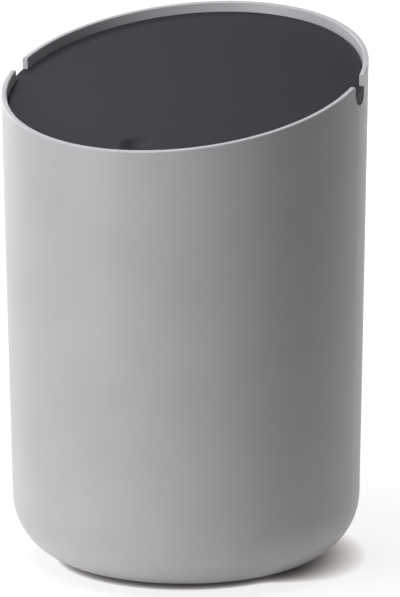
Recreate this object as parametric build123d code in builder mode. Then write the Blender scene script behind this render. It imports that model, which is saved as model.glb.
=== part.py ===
"""Countertop waste bin with a push-top lid, in millimetres.

The casing is a round, drafted cup with a softly rounded foot and a slanted rim, low at the
front (-Y).  A flat lid lies just below the rim.  It hangs by two half-round trunnions in U
slots, which are cut down from the rim at the left and right.  A finger on the dimple swings
the front of the lid down into the bin.  A steel weight in the back half swings it shut
again, until two soft pads land on the casing's stop ribs.

The origin is on the counter, under the centre of the base, with +Z up.
"""

from build123d import *
import os
from math import asin, cos, degrees, radians, sin, sqrt, tan

# ---------------------------------------------------------------- driving dimensions
# Casing
BODY_RADIUS = 80.0  # outside, at the height of the rim's centre
RIM_HEIGHT = 215.6  # centre of the slanted rim above the casing's underside
RIM_SLOPE = 15.4  # degrees, falling to the front
WALL_DRAFT = 0.84  # degrees, opening upwards
WALL = 2.35
FLOOR = 3.0
BASE_ROUNDING = 29.0  # outside radius of the bottom edge
RIM_ROUNDING = 0.5

# Foot ring
FOOT_STAND = 1.2  # how far it holds the casing off the counter
FOOT_WIDTH = 5.0
FOOT_GROOVE = 1.5  # depth of its groove in the underside
FOOT_INSET = 2.0  # groove to the edge of the flat underside
FOOT_SLACK = 0.1
FOOT_BEVEL = 0.5

# Pivot
PIVOT_BEHIND = 1.1  # behind the casing's axis
PIVOT_RISE = 0.4  # above the lid's face
SLOT_WIDTH = 12.7
PIVOT_SLACK = 0.25  # trunnion to slot
TRUNNION_SHY = 0.3  # end of a trunnion to the casing's outside

# Lid
LID_SINK = 4.8  # face of the lid below the middle of the rim's plane, measured upright
LID_TILT = 0.65  # degrees, how much steeper than the rim the closed lid lies
LID_GAP = 0.6  # edge of the lid to the casing wall
LID_THICKNESS = 7.0
LID_SKIN = 2.2
LID_SKIRT = 2.0
LID_TOP_ROUNDING = 0.3
LID_UNDER_ROUNDING = 1.2

# Finger dimple
DIMPLE_INSET = 18.5  # its centre to the front edge of the lid
DIMPLE_WIDTH = 12.5  # of the hollow, without the blend
DIMPLE_DEPTH = 1.5
DIMPLE_BLEND = 9.0  # radius between the hollow and the face

# Inner cover of the lid
COVER = 1.6
COVER_SLACK = 0.2
COVER_BEVEL = 0.4

# Screws of the cover
SCREW_SHANK = 2.4  # diameters
SCREW_HEAD = 4.8
SCREW_LENGTH = 4.4
SCREW_SLACK = 0.05
SCREW_END = 0.2  # tip to the bottom of its hole
SCREW_TIP = 0.3  # bevel
CROSS_LENGTH = 2.6  # of the cross recess, tip to tip
CROSS_WIDTH = 0.6
CROSS_DEPTH = 0.8
BOSS_DIAMETER = 6.0
SCREW_INSET = 18.0  # centre of a screw to the lid's edge
FRONT_SCREW_ANGLE = 135.0  # degrees from the back, to each side
BACK_SCREW_ANGLE = 72.0

# Counterweight
WEIGHT_LENGTH = 70.0
WEIGHT_WIDTH = 20.0
WEIGHT_THICKNESS = 2.8
WEIGHT_INSET = 20.0  # its back edge to the back edge of the lid
WEIGHT_CORNER = 3.0
POCKET_RIB = 1.2
POCKET_SLACK = 0.3

# Stop for the closed lid
STOP_ASIDE = 1.4  # barb of a pad to the counterweight's pocket
STOP_RIB = 2.4  # thickness
STOP_REACH = 11.0  # in from the wall
PAD_INSET = 7.5  # centre of a pad to the wall
PAD_DIAMETER = 7.0
PAD_HEAD = 1.6
PAD_STEM = 3.4  # diameter
PAD_BARB = 4.6  # diameter
PAD_BARB_HEIGHT = 1.6
PAD_SLACK = 0.1
PAD_ROUNDING = 0.5
STOP_GAP = 0.3  # pad to rib

# ---------------------------------------------------------------- places worked out from them
rim_slope = radians(RIM_SLOPE)
lid_slope = radians(RIM_SLOPE + LID_TILT)
rim_z = FOOT_STAND + RIM_HEIGHT
lid_z = rim_z - LID_SINK
pivot_z = lid_z + PIVOT_BEHIND * tan(lid_slope) + PIVOT_RISE
top_z = rim_z + 1.5 * BODY_RADIUS * tan(rim_slope)  # clear above the back of the rim
slot_radius = SLOT_WIDTH / 2
trunnion_radius = slot_radius - PIVOT_SLACK


def wall_radius(z):
    """Outside radius of the drafted casing wall at a height."""
    return BODY_RADIUS + (z - rim_z) * tan(radians(WALL_DRAFT))


def slanted(z, slope):
    """Plane that falls to the front by a slope and crosses the casing's axis at a height."""
    return Plane(origin=(0, 0, z), x_dir=(1, 0, 0), z_dir=(0, -sin(slope), cos(slope)))


def upright(angle):
    """Upright plane through the casing's axis, its x pointing outwards at an angle."""
    turn = radians(angle)
    return Plane(
        origin=(0, 0, 0),
        x_dir=(cos(turn), sin(turn), 0),
        z_dir=(sin(turn), -cos(turn), 0),
    )


rim_plane = slanted(rim_z, rim_slope)
lid_face = slanted(lid_z, lid_slope)
lid_under = lid_face.offset(-LID_THICKNESS)
lid_below = Plane(origin=lid_under.origin, x_dir=(1, 0, 0), z_dir=-lid_under.z_dir)
skin_under = lid_face.offset(-LID_SKIN)
cover_top = lid_face.offset(COVER - LID_THICKNESS)
cavity_height = LID_THICKNESS - LID_SKIN - COVER
stop_plane = lid_under.offset(-PAD_HEAD - STOP_GAP)
lid_axis = Axis(lid_face.origin, lid_face.z_dir)
pivot_section = Plane(origin=(0, PIVOT_BEHIND, pivot_z), x_dir=(0, 1, 0), z_dir=(1, 0, 0))

flat_radius = wall_radius(FOOT_STAND) - BASE_ROUNDING  # flat part of the underside
foot_outer = flat_radius - FOOT_INSET
foot_inner = foot_outer - FOOT_WIDTH

inner_radius = wall_radius(lid_z) - WALL
lid_width = inner_radius - LID_GAP  # from the lid's middle to its side
lid_length = lid_width / cos(lid_slope)  # from its middle to its front and back edges
trunnion_root = lid_width - LID_SKIRT


def lid_spot(angle, inset):
    """Place on the lid at an angle from its back, an inset from its edge."""
    turn = radians(angle)
    return (lid_width - inset) * sin(turn), (lid_length - inset) * cos(turn)


dimple_spot = lid_spot(180, DIMPLE_INSET)
dimple_radius = ((DIMPLE_WIDTH / 2) ** 2 + DIMPLE_DEPTH**2) / (2 * DIMPLE_DEPTH)
screw_angles = (-FRONT_SCREW_ANGLE, FRONT_SCREW_ANGLE, -BACK_SCREW_ANGLE, BACK_SCREW_ANGLE)
screw_spots = [lid_spot(angle, SCREW_INSET) for angle in screw_angles]
weight_spot = (0, lid_length - WEIGHT_INSET - WEIGHT_WIDTH / 2)
pocket_length = WEIGHT_LENGTH + 2 * POCKET_SLACK
pocket_width = WEIGHT_WIDTH + 2 * POCKET_SLACK
pocket_corner = WEIGHT_CORNER + POCKET_SLACK

# The pads lie just outside the pocket of the counterweight, and above the stop ribs.
pad_aside = pocket_length / 2 + POCKET_RIB + STOP_ASIDE + PAD_BARB / 2
pad_radius = inner_radius - PAD_INSET
pad_back = sqrt(pad_radius**2 - pad_aside**2)
stop_angle = degrees(asin(pad_aside / pad_radius))
pad_spots = [(side * pad_aside, (pad_back - lid_under.origin.Y) / cos(lid_slope)) for side in (-1, 1)]


def half_section(inset, bottom_z, rounding=0.0):
    """Right half of a round, drafted shape whose side lies a given inset inside the wall."""
    with BuildSketch() as section:
        with BuildLine():
            Polyline(
                (0, bottom_z),
                (wall_radius(bottom_z) - inset, bottom_z),
                (wall_radius(top_z) - inset, top_z),
                (0, top_z),
                close=True,
            )
        make_face()
        if rounding > 0:
            fillet(section.vertices().group_by(Axis.Y)[0].sort_by(Axis.X)[-1], rounding)
    return section.sketch


def lid_slice(inset, upper, lower):
    """Slice between two planes of the space that the lid fills, less an inset at its edge."""
    with BuildPart() as piece:
        with BuildSketch(Plane.XZ):
            add(half_section(WALL + LID_GAP + inset, 0))
        revolve(axis=Axis.Z)
        split(bisect_by=upper, keep=Keep.BOTTOM)
        split(bisect_by=lower, keep=Keep.TOP)
    return piece.part


def flats(piece, plane=lid_face):
    """Faces of a piece that are parallel to a plane, lowest first."""
    return piece.faces().filter_by(plane).sort_by(Axis(plane.origin, plane.z_dir))


def save(piece, name):
    """Label a finished piece and write its STEP file."""
    piece.part.label = name
    export_step(piece.part, f"parts/{name}.step")


os.makedirs("parts", exist_ok=True)

# ---------------------------------------------------------------- casing
# One moulding: the cup with its slanted rim, a U slot at each side for the trunnions, two
# upright stop ribs inside the back wall and a groove in the underside for the foot ring.
with BuildPart() as stop_ribs:
    for side in (-1, 1):
        with BuildSketch(upright(90 - side * stop_angle)):
            add(half_section(WALL / 2, FOOT_STAND + FLOOR / 2, BASE_ROUNDING - WALL / 2))
            add(half_section(WALL + STOP_REACH, 0), mode=Mode.SUBTRACT)
        extrude(amount=STOP_RIB / 2, both=True)
    split(bisect_by=stop_plane, keep=Keep.BOTTOM)

with BuildPart() as casing:
    with BuildSketch(Plane.XZ):
        add(half_section(0, FOOT_STAND, BASE_ROUNDING))
        add(half_section(WALL, FOOT_STAND + FLOOR, BASE_ROUNDING - WALL), mode=Mode.SUBTRACT)
    revolve(axis=Axis.Z)
    split(bisect_by=rim_plane, keep=Keep.BOTTOM)
    with BuildSketch(Plane.YZ):
        with Locations((PIVOT_BEHIND, pivot_z)):
            Circle(slot_radius)
            Rectangle(SLOT_WIDTH, top_z, align=(Align.CENTER, Align.MIN))
    extrude(amount=2 * BODY_RADIUS, both=True, mode=Mode.SUBTRACT)
    fillet(flats(casing, rim_plane)[-2:].edges(), min(RIM_ROUNDING, WALL / 3))
    add(stop_ribs.part)
    with BuildSketch(Plane.XY.offset(FOOT_STAND)):
        Circle(foot_outer)
        Circle(foot_inner, mode=Mode.SUBTRACT)
    extrude(amount=FOOT_GROOVE, mode=Mode.SUBTRACT)
save(casing, "casing")

# ---------------------------------------------------------------- foot ring
# Non-slip ring pressed into the groove of the underside.
with BuildPart() as foot_ring:
    with BuildSketch():
        Circle(foot_outer - FOOT_SLACK)
        Circle(foot_inner + FOOT_SLACK, mode=Mode.SUBTRACT)
    extrude(amount=FOOT_STAND + FOOT_GROOVE)
    chamfer(foot_ring.faces().sort_by(Axis.Z)[0].edges(), FOOT_BEVEL)
save(foot_ring, "foot_ring")

# ---------------------------------------------------------------- lid shell
# Upper moulding of the lid: skin, skirt, finger dimple and trunnions, with the bosses for the
# cover's screws and the ribs round the counterweight on its underside.
lid_blank = lid_slice(0, lid_face, lid_under)
lid_hollow = lid_slice(LID_SKIRT, skin_under, lid_under)

with BuildPart() as trunnions:
    with BuildSketch(pivot_section.offset(trunnion_root)):
        Circle(trunnion_radius)
    extrude(amount=BODY_RADIUS)
    split(bisect_by=lid_face, keep=Keep.BOTTOM)
    with BuildSketch(Plane.XZ):
        add(half_section(TRUNNION_SHY, 0))
    revolve(axis=Axis.Z, mode=Mode.INTERSECT)
    fillet(flats(trunnions)[-1].edges().sort_by(Axis.X)[1:], LID_TOP_ROUNDING)
    mirror(about=Plane.YZ)

with BuildPart() as dimple_backing:
    with Locations(lid_face):
        with Locations((*dimple_spot, dimple_radius - DIMPLE_DEPTH)):
            Sphere(dimple_radius + LID_SKIN)
    split(bisect_by=lid_face.offset(-LID_SKIN / 2), keep=Keep.BOTTOM)

with BuildPart() as lid_shell:
    add(lid_blank)
    fillet(flats(lid_shell)[0].edges(), LID_UNDER_ROUNDING)
    fillet(flats(lid_shell)[-1].edges(), LID_TOP_ROUNDING)
    add(trunnions.part)
    add(lid_hollow, mode=Mode.SUBTRACT)
    add(dimple_backing.part)
    with BuildSketch(skin_under):
        with Locations(*screw_spots):
            Circle(BOSS_DIAMETER / 2)
        with Locations(weight_spot):
            RectangleRounded(
                pocket_length + 2 * POCKET_RIB,
                pocket_width + 2 * POCKET_RIB,
                pocket_corner + POCKET_RIB,
            )
            RectangleRounded(pocket_length, pocket_width, pocket_corner, mode=Mode.SUBTRACT)
    extrude(amount=-cavity_height)
    with Locations(cover_top):
        with Locations(*screw_spots):
            Hole(SCREW_SHANK / 2 + SCREW_SLACK, SCREW_LENGTH - COVER + SCREW_END)
    with Locations(lid_face):
        with Locations((*dimple_spot, dimple_radius - DIMPLE_DEPTH)):
            Sphere(dimple_radius, mode=Mode.SUBTRACT)
    fillet(flats(lid_shell)[-1].inner_wires()[0].edges(), DIMPLE_BLEND)
save(lid_shell, "lid_shell")

# ---------------------------------------------------------------- lid cover
# Plate that closes the lid's underside inside the skirt, held by four countersunk screws.
cover_blank = lid_slice(LID_SKIRT + COVER_SLACK, cover_top, lid_under)

with BuildPart() as lid_cover:
    add(cover_blank)
    chamfer(flats(lid_cover)[0].edges(), COVER_BEVEL)
    with Locations(lid_below):
        with Locations(*[(across, -along) for across, along in screw_spots]):
            CounterSinkHole(
                SCREW_SHANK / 2 + SCREW_SLACK,
                SCREW_HEAD / 2 + SCREW_SLACK,
                counter_sink_angle=90,
            )
    with Locations(lid_under):
        with Locations(*pad_spots):
            Hole(PAD_STEM / 2 + PAD_SLACK)
save(lid_cover, "lid_cover")

# ---------------------------------------------------------------- cover screws
for number, spot in enumerate(screw_spots, start=1):
    with BuildPart() as cover_screw:
        with Locations(lid_under):
            with Locations(spot):
                Cylinder(
                    SCREW_SHANK / 2,
                    SCREW_LENGTH,
                    align=(Align.CENTER, Align.CENTER, Align.MIN),
                )
                chamfer(cover_screw.edges().sort_by(lid_axis)[-1], SCREW_TIP)
                Cone(
                    SCREW_HEAD / 2,
                    SCREW_SHANK / 2,
                    (SCREW_HEAD - SCREW_SHANK) / 2,
                    align=(Align.CENTER, Align.CENTER, Align.MIN),
                )
        with BuildSketch(lid_under):
            with Locations(spot):
                Rectangle(CROSS_LENGTH, CROSS_WIDTH)
                Rectangle(CROSS_WIDTH, CROSS_LENGTH)
        extrude(amount=CROSS_DEPTH, mode=Mode.SUBTRACT)
    save(cover_screw, f"cover_screw_{number}")

# ---------------------------------------------------------------- counterweight
# Steel bar that lies on the cover, between the lid's pocket ribs.
with BuildPart() as counterweight:
    with BuildSketch(cover_top):
        with Locations(weight_spot):
            RectangleRounded(WEIGHT_LENGTH, WEIGHT_WIDTH, WEIGHT_CORNER)
    extrude(amount=WEIGHT_THICKNESS)
save(counterweight, "counterweight")

# ---------------------------------------------------------------- rest pads
# Soft buttons pushed into the cover from below, each held by its barb.
for name, spot in zip(("rest_pad_left", "rest_pad_right"), pad_spots):
    with BuildPart() as rest_pad:
        with BuildSketch(lid_under):
            with Locations(spot):
                Circle(PAD_DIAMETER / 2)
        extrude(amount=-PAD_HEAD)
        fillet(rest_pad.edges().sort_by(lid_axis)[0], PAD_ROUNDING)
        with BuildSketch(lid_under):
            with Locations(spot):
                Circle(PAD_STEM / 2)
        extrude(amount=COVER)
        with Locations(cover_top):
            with Locations(spot):
                Cone(
                    PAD_BARB / 2,
                    PAD_STEM / 2,
                    PAD_BARB_HEIGHT,
                    align=(Align.CENTER, Align.CENTER, Align.MIN),
                )
    save(rest_pad, name)
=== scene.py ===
"""Push top countertop bin: finishes, studio and camera, in metres.

The casing stands on the floor, low at the front (-Y).  The flat lid lies on two trunnions in
the slots of its rim and swings down at the front.
"""

from math import cos, radians, sin

import bpy
from mathutils import Matrix, Vector

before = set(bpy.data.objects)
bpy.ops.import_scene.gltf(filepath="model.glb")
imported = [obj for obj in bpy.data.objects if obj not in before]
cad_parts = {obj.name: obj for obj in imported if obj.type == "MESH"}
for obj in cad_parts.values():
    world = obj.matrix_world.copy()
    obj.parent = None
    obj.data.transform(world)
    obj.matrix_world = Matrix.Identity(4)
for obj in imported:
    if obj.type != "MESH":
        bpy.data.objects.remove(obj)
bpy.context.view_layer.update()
scene = bpy.context.scene
scene.view_settings.view_transform = "Standard"

# ------------------------------------------------------------------------------- camera
# A long lens on a tripod, to the right of the bin's front and a little above its lid. Its
# depth of field is off, so the whole bin is sharp.
LENS = 217.6  # mm
SENSOR = 36.0  # mm, along the longer side
CAMERA_PLACE = (0.54362, -1.45919, 0.44419)
CAMERA_AZIMUTH = 20.197  # degrees, to the right of the front
CAMERA_DOWN = 11.884  # degrees, below the horizon
CAMERA_ROLL = -0.177  # degrees
CAMERA_SIGHT = 50.0  # how far it sees

camera_data = bpy.data.cameras.new("camera")
camera_data.lens = LENS
camera_data.sensor_width = SENSOR
camera_data.clip_end = CAMERA_SIGHT
camera = bpy.data.objects.new("camera", camera_data)
scene.collection.objects.link(camera)
camera.matrix_world = (
    Matrix.Translation(CAMERA_PLACE)
    @ Matrix.Rotation(radians(CAMERA_AZIMUTH), 4, "Z")
    @ Matrix.Rotation(radians(90 - CAMERA_DOWN), 4, "X")
    @ Matrix.Rotation(radians(CAMERA_ROLL), 4, "Z")
)
scene.camera = camera

# ------------------------------------------------------------------------------- casing
# Injection-moulded cup in light grey ABS, left as it comes from a finely spark-eroded mould:
# satin, with a grain that is felt more than seen. One moulding with its stop ribs.
CASING_GREY = (0.504, 0.498, 0.51)
CASING_ROUGHNESS = 0.42
CASING_GRAIN = (0.00035, 0.000006)  # width and depth of a bump of the mould's texture
CLOUD_SCALE, CLOUD_DETAIL = 35.0, 4.0  # clouds about 3 cm wide
CLOUD_START, CLOUD_END = 0.3, 0.7  # what the noise mostly stays between
GRAIN_DETAIL = 2.0
MOTTLE = 0.03  # share by which the colour of a plain moulding is clouded


def link(tree, source, output, target, socket):
    """Wire one node's output to another's input."""
    tree.links.new(source.outputs[output], target.inputs[socket])


def number_between(tree, source, output, start, end, low, high, shape="LINEAR"):
    """Number that goes from low to high while the source goes from start to end."""
    node = tree.nodes.new("ShaderNodeMapRange")
    node.interpolation_type = shape
    for socket, value in (
        ("From Min", start), ("From Max", end), ("To Min", low), ("To Max", high)
    ):
        node.inputs[socket].default_value = value
    link(tree, source, output, node, "Value")
    return node


def colour_between(tree, source, output, start, end, first, second):
    """Colour that goes from the first to the second while the source goes from start to end."""
    node = tree.nodes.new("ShaderNodeValToRGB")
    for element, position, colour in zip(
        node.color_ramp.elements, (start, end), (first, second)
    ):
        element.position = position
        element.color = (*colour, 1.0)
    link(tree, source, output, node, "Fac")
    return node


def moulded(name, colour, roughness, grain, mottle=MOTTLE):
    """Moulded surface: an even colour, clouded a little, under the mould's fine grain.

    Cloud = slow noise; the colour follows it by the share `mottle`, the roughness by twice it.
    Height = fine noise x the grain's depth.
    """
    grain_width, grain_depth = grain
    material = bpy.data.materials.new(name)
    material.use_nodes = True
    tree = material.node_tree
    shader = tree.nodes["Principled BSDF"]
    place = tree.nodes.new("ShaderNodeTexCoord")

    cloud = tree.nodes.new("ShaderNodeTexNoise")
    cloud.inputs["Scale"].default_value = CLOUD_SCALE
    cloud.inputs["Detail"].default_value = CLOUD_DETAIL
    link(tree, place, "Object", cloud, "Vector")
    tint = colour_between(
        tree, cloud, "Fac", CLOUD_START, CLOUD_END,
        [c * (1 - mottle) for c in colour], [c * (1 + mottle) for c in colour],
    )
    link(tree, tint, "Color", shader, "Base Color")
    gloss = number_between(
        tree, cloud, "Fac", 0.0, 1.0,
        roughness * (1 - 2 * mottle), roughness * (1 + 2 * mottle),
    )
    link(tree, gloss, "Result", shader, "Roughness")

    texture = tree.nodes.new("ShaderNodeTexNoise")
    texture.inputs["Scale"].default_value = 1.0 / grain_width
    texture.inputs["Detail"].default_value = GRAIN_DETAIL
    link(tree, place, "Object", texture, "Vector")
    bump = tree.nodes.new("ShaderNodeBump")
    bump.inputs["Distance"].default_value = grain_depth
    link(tree, texture, "Fac", bump, "Height")
    link(tree, bump, "Normal", shader, "Normal")
    return material


def dress(material, *nodes):
    """Give CAD nodes a material."""
    for name in nodes:
        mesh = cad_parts[name].data
        mesh.materials.clear()
        mesh.materials.append(material)


casing_satin = moulded("casing_satin", CASING_GREY, CASING_ROUGHNESS, CASING_GRAIN)
dress(casing_satin, "casing")

# ------------------------------------------------------------------------------- foot ring
# Non-slip ring of black rubber, pressed into the groove of the casing's underside. It stands
# a little proud, so that the bin rests on it.
RUBBER_BLACK = (0.025, 0.025, 0.026)
RUBBER_ROUGHNESS = 0.75
RUBBER_GRAIN = (0.0005, 0.00001)
foot_black = moulded("foot_black", RUBBER_BLACK, RUBBER_ROUGHNESS, RUBBER_GRAIN)
dress(foot_black, "foot_ring")

# ------------------------------------------------------------------------------- lid
# Two mouldings in anthracite ABS, matte: the shell with its trunnions, and the cover screwed
# into it from below.
LID_GREY = (0.028, 0.0265, 0.0335)
LID_ROUGHNESS = 0.5
LID_GRAIN = (0.0003, 0.000006)
LID_GLOSS = 0.1  # specular level, low for a dull plastic
lid_matte = moulded("lid_matte", LID_GREY, LID_ROUGHNESS, LID_GRAIN)
lid_shader = lid_matte.node_tree.nodes["Principled BSDF"]
lid_shader.inputs["Specular IOR Level"].default_value = LID_GLOSS
dress(lid_matte, "lid_shell", "lid_cover")

# ------------------------------------------------------------------------------- metal
# Zinc-plated steel: the four countersunk screws that hold the cover, and the counterweight, a
# bar that lies on the cover between the shell's ribs.
ZINC = (0.6, 0.6, 0.61)
ZINC_ROUGHNESS = 0.32
ZINC_GRAIN = (0.0004, 0.000004)
ZINC_MOTTLE = 0.08
COVER_SCREWS = [f"cover_screw_{number}" for number in (1, 2, 3, 4)]
zinc = moulded("zinc", ZINC, ZINC_ROUGHNESS, ZINC_GRAIN, ZINC_MOTTLE)
zinc.node_tree.nodes["Principled BSDF"].inputs["Metallic"].default_value = 1.0
dress(zinc, "counterweight", *COVER_SCREWS)

# ------------------------------------------------------------------------------- rest pads
# Soft buttons of dark silicone, pushed into the cover from below and held by their barbs.
# They land on the casing's stop ribs when the lid shuts.
SILICONE_GREY = (0.03, 0.03, 0.032)
SILICONE_ROUGHNESS = 0.6
SILICONE_GRAIN = (0.0005, 0.00001)
pad_silicone = moulded("pad_silicone", SILICONE_GREY, SILICONE_ROUGHNESS, SILICONE_GRAIN)
dress(pad_silicone, "rest_pad_left", "rest_pad_right")

# ------------------------------------------------------------------------------- floor
# A white sheet on a pale table that runs out of the picture. A share of its look is the lamps'
# light with their soft shadow. The rest is a glow, white away from the bin and darkened near it
# by a painted
# shadow: a dark line of contact drawn out to the right, away from the lamps.
FLOOR_HALF = 6.0
SHEET_TONE = (0.87, 0.85, 0.835)  # what the sheet throws back at the foot of the bin
TABLE_TONE = (0.47, 0.46, 0.455)  # and the table around it
SHEET_INNER, SHEET_OUTER = 0.08, 0.28  # from the bin's axis, where the sheet fades out
FLOOR_SHADOW = 0.2  # share of the floor's look that comes from the light on it
FLOOR_GLOW = 0.83  # and its own glow near the bin
FLOOR_NEAR, FLOOR_FAR = 0.3, 1.6  # from the axis, where the floor starts and ends to turn white
PAINTED_SHADOW_WAY = (0.94, 0.34, 0.0)  # the way the painted shadow is drawn out
PAINTED_REACH_FROM, PAINTED_REACH_TO = 0.03, 0.08  # along it, from the axis, where the painted contact shadow widens
PAINTED_REACH_THIN, PAINTED_REACH_WIDE = 0.003, 0.0155  # clearance under which the painted contact shadow darkens the floor
PAINTED_DEPTH_THIN, PAINTED_DEPTH_WIDE = 2.0, 1.2  # power that darkens the painted shadow towards the bin
# warm colour painted into the floor's shadow
PAINTED_SHADOW_TINT = (1.0, 0.945, 0.92)
PAINTED_SHADOW_TINTED, PAINTED_SHADOW_PLAIN = 0.6, 1.0  # share of open sky, up to which the painted shadow is tinted warm and from which it is plain
WHITE = (1.0, 1.0, 1.0)

floor_mesh = bpy.data.meshes.new("floor")
floor_mesh.from_pydata(
    [(-FLOOR_HALF, -FLOOR_HALF, 0), (FLOOR_HALF, -FLOOR_HALF, 0),
     (FLOOR_HALF, FLOOR_HALF, 0), (-FLOOR_HALF, FLOOR_HALF, 0)],
    [],
    [(0, 1, 2, 3)],
)
floor = bpy.data.objects.new("floor", floor_mesh)
scene.collection.objects.link(floor)

floor_paint = bpy.data.materials.new("floor_paint")
floor_paint.use_nodes = True
paint = floor_paint.node_tree
paint.nodes.remove(paint.nodes["Principled BSDF"])


def worked_out(tree, operation, first, output, second, other):
    """Number worked out from two others, such as the larger of them."""
    node = tree.nodes.new("ShaderNodeMath")
    node.operation = operation
    link(tree, first, output, node, 0)
    link(tree, second, other, node, 1)
    return node


place = paint.nodes.new("ShaderNodeTexCoord")
from_axis = paint.nodes.new("ShaderNodeVectorMath")
from_axis.operation = "LENGTH"
link(paint, place, "Object", from_axis, 0)
along_painted_shadow = paint.nodes.new("ShaderNodeVectorMath")
along_painted_shadow.operation = "DOT_PRODUCT"
along_painted_shadow.inputs[1].default_value = PAINTED_SHADOW_WAY
link(paint, place, "Object", along_painted_shadow, 0)

# What the floor throws back at the bin.
off_sheet = number_between(
    paint, from_axis, "Value", SHEET_INNER, SHEET_OUTER, 0.0, 1.0, "SMOOTHSTEP"
)
tone = colour_between(paint, off_sheet, "Result", 0.0, 1.0, SHEET_TONE, TABLE_TONE)
table = paint.nodes.new("ShaderNodeBsdfDiffuse")
link(paint, tone, "Color", table, "Color")

# What it looks like: a share of the light on it, and a glow darkened by a painted contact
# shadow.
shaded = paint.nodes.new("ShaderNodeBsdfDiffuse")
shaded.inputs["Color"].default_value = (FLOOR_SHADOW, FLOOR_SHADOW, FLOOR_SHADOW, 1)
painted_shadow_reach = number_between(
    paint, along_painted_shadow, "Value", PAINTED_REACH_FROM, PAINTED_REACH_TO, PAINTED_REACH_THIN, PAINTED_REACH_WIDE, "SMOOTHSTEP"
)
# Painted shadow: ambient occlusion darkens the floor's glow near the bin, most widely to the
# right.
painted_contact_shadow = paint.nodes.new("ShaderNodeAmbientOcclusion")
link(paint, painted_shadow_reach, "Result", painted_contact_shadow, "Distance")
depth = number_between(
    paint, along_painted_shadow, "Value", PAINTED_REACH_FROM, PAINTED_REACH_TO, PAINTED_DEPTH_THIN, PAINTED_DEPTH_WIDE, "SMOOTHSTEP"
)
painted_shadow_darkening = worked_out(paint, "POWER", painted_contact_shadow, "AO", depth, "Result")
glow = number_between(
    paint, from_axis, "Value", FLOOR_NEAR, FLOOR_FAR, FLOOR_GLOW, 1.0, "SMOOTHSTEP"
)
strength = worked_out(paint, "MULTIPLY", glow, "Result", painted_shadow_darkening, "Value")
# Painted warm tint in the shadow, white where the floor is open.
tint = colour_between(
    paint, painted_contact_shadow, "Color", PAINTED_SHADOW_TINTED, PAINTED_SHADOW_PLAIN, PAINTED_SHADOW_TINT, WHITE
)
glowing = paint.nodes.new("ShaderNodeEmission")
link(paint, tint, "Color", glowing, "Color")
link(paint, strength, "Value", glowing, "Strength")
look = paint.nodes.new("ShaderNodeAddShader")
link(paint, shaded, "BSDF", look, 0)
link(paint, glowing, "Emission", look, 1)

# The look is for the camera, gloss and glass, and the table for all other light.
rays = paint.nodes.new("ShaderNodeLightPath")
clear = worked_out(paint, "MAXIMUM", rays, "Is Glossy Ray", rays, "Is Transmission Ray")
direct = worked_out(paint, "MAXIMUM", rays, "Is Camera Ray", clear, "Value")
seen = paint.nodes.new("ShaderNodeMixShader")
link(paint, direct, "Value", seen, "Fac")
link(paint, table, "BSDF", seen, 1)
link(paint, look, "Shader", seen, 2)
link(paint, seen, "Shader", paint.nodes["Material Output"], "Surface")
floor_mesh.materials.append(floor_paint)

# ------------------------------------------------------------------------------- lamps
# A low softbox at the left of the front lights the body, one overhead the lid and the rim, and
# one behind at the left the lid and its dimple. Three behind draw the edges. The last two are
# a little warm, and the overhead one is a little cool.
MIDDLE = (0.0, 0.0, 0.12)
LAMP_SIZE = 0.8
LAMP_DISTANCE = 1.8
PLAIN, COOL, WARM = (1.0, 1.0, 1.0), (0.985, 0.985, 1.04), (1.04, 1.0, 0.96)
LAMPS = {  # degrees round from the front towards the right, degrees up, watts, colour
    "top": (-30, 75, 22.0, COOL),
    "key": (-36, 12, 16.4, PLAIN),
    "sheen": (-138, 48, 5.0, PLAIN),
    "edge_left": (-120, 12, 17.0, PLAIN),
    "edge_right": (148, 30, 4.6, WARM),
    "back": (180, 12, 8.5, WARM),
}


def softbox(name, azimuth, elevation, watts, colour):
    """Square area lamp that faces the middle of the bin from LAMP_DISTANCE."""
    turn, rise = radians(azimuth), radians(elevation)
    away = Vector((sin(turn) * cos(rise), -cos(turn) * cos(rise), sin(rise)))
    data = bpy.data.lights.new(name, "AREA")
    data.size = LAMP_SIZE
    data.energy = watts
    data.color = colour
    lamp = bpy.data.objects.new(name, data)
    lamp.visible_camera = False
    scene.collection.objects.link(lamp)
    lamp.matrix_world = (
        Matrix.Translation(Vector(MIDDLE) + LAMP_DISTANCE * away)
        @ (-away).to_track_quat("-Z", "Y").to_matrix().to_4x4()
    )


for name, values in LAMPS.items():
    softbox(name, *values)

# ------------------------------------------------------------------------------- room
# The room is dim. What the camera and glass see of it is white, and so is what gloss shows
# straight behind the bin.
ROOM_DIM = 0.03
WHITE_FROM, WHITE_TO = 0.93, 0.995  # share of a direction that points straight back

world = bpy.data.worlds.new("studio")
scene.world = world
world.use_nodes = True
sky = world.node_tree
dim = sky.nodes["Background"]
dim.inputs["Color"].default_value = (*WHITE, 1)
dim.inputs["Strength"].default_value = ROOM_DIM
backdrop = sky.nodes.new("ShaderNodeBackground")
backdrop.inputs["Color"].default_value = (*WHITE, 1)
backdrop.inputs["Strength"].default_value = 1.0

direction = sky.nodes.new("ShaderNodeTexCoord")
parts = sky.nodes.new("ShaderNodeSeparateXYZ")
link(sky, direction, "Generated", parts, "Vector")
behind = number_between(sky, parts, "Y", WHITE_FROM, WHITE_TO, 0.0, 1.0)
rays = sky.nodes.new("ShaderNodeLightPath")
gloss = worked_out(sky, "MULTIPLY", rays, "Is Glossy Ray", behind, "Result")
through = worked_out(sky, "MAXIMUM", rays, "Is Camera Ray", rays, "Is Transmission Ray")
white_share = worked_out(sky, "MAXIMUM", gloss, "Value", through, "Value")
seen = sky.nodes.new("ShaderNodeMixShader")
link(sky, white_share, "Value", seen, "Fac")
link(sky, dim, "Background", seen, 1)
link(sky, backdrop, "Background", seen, 2)
link(sky, seen, "Shader", sky.nodes["World Output"], "Surface")
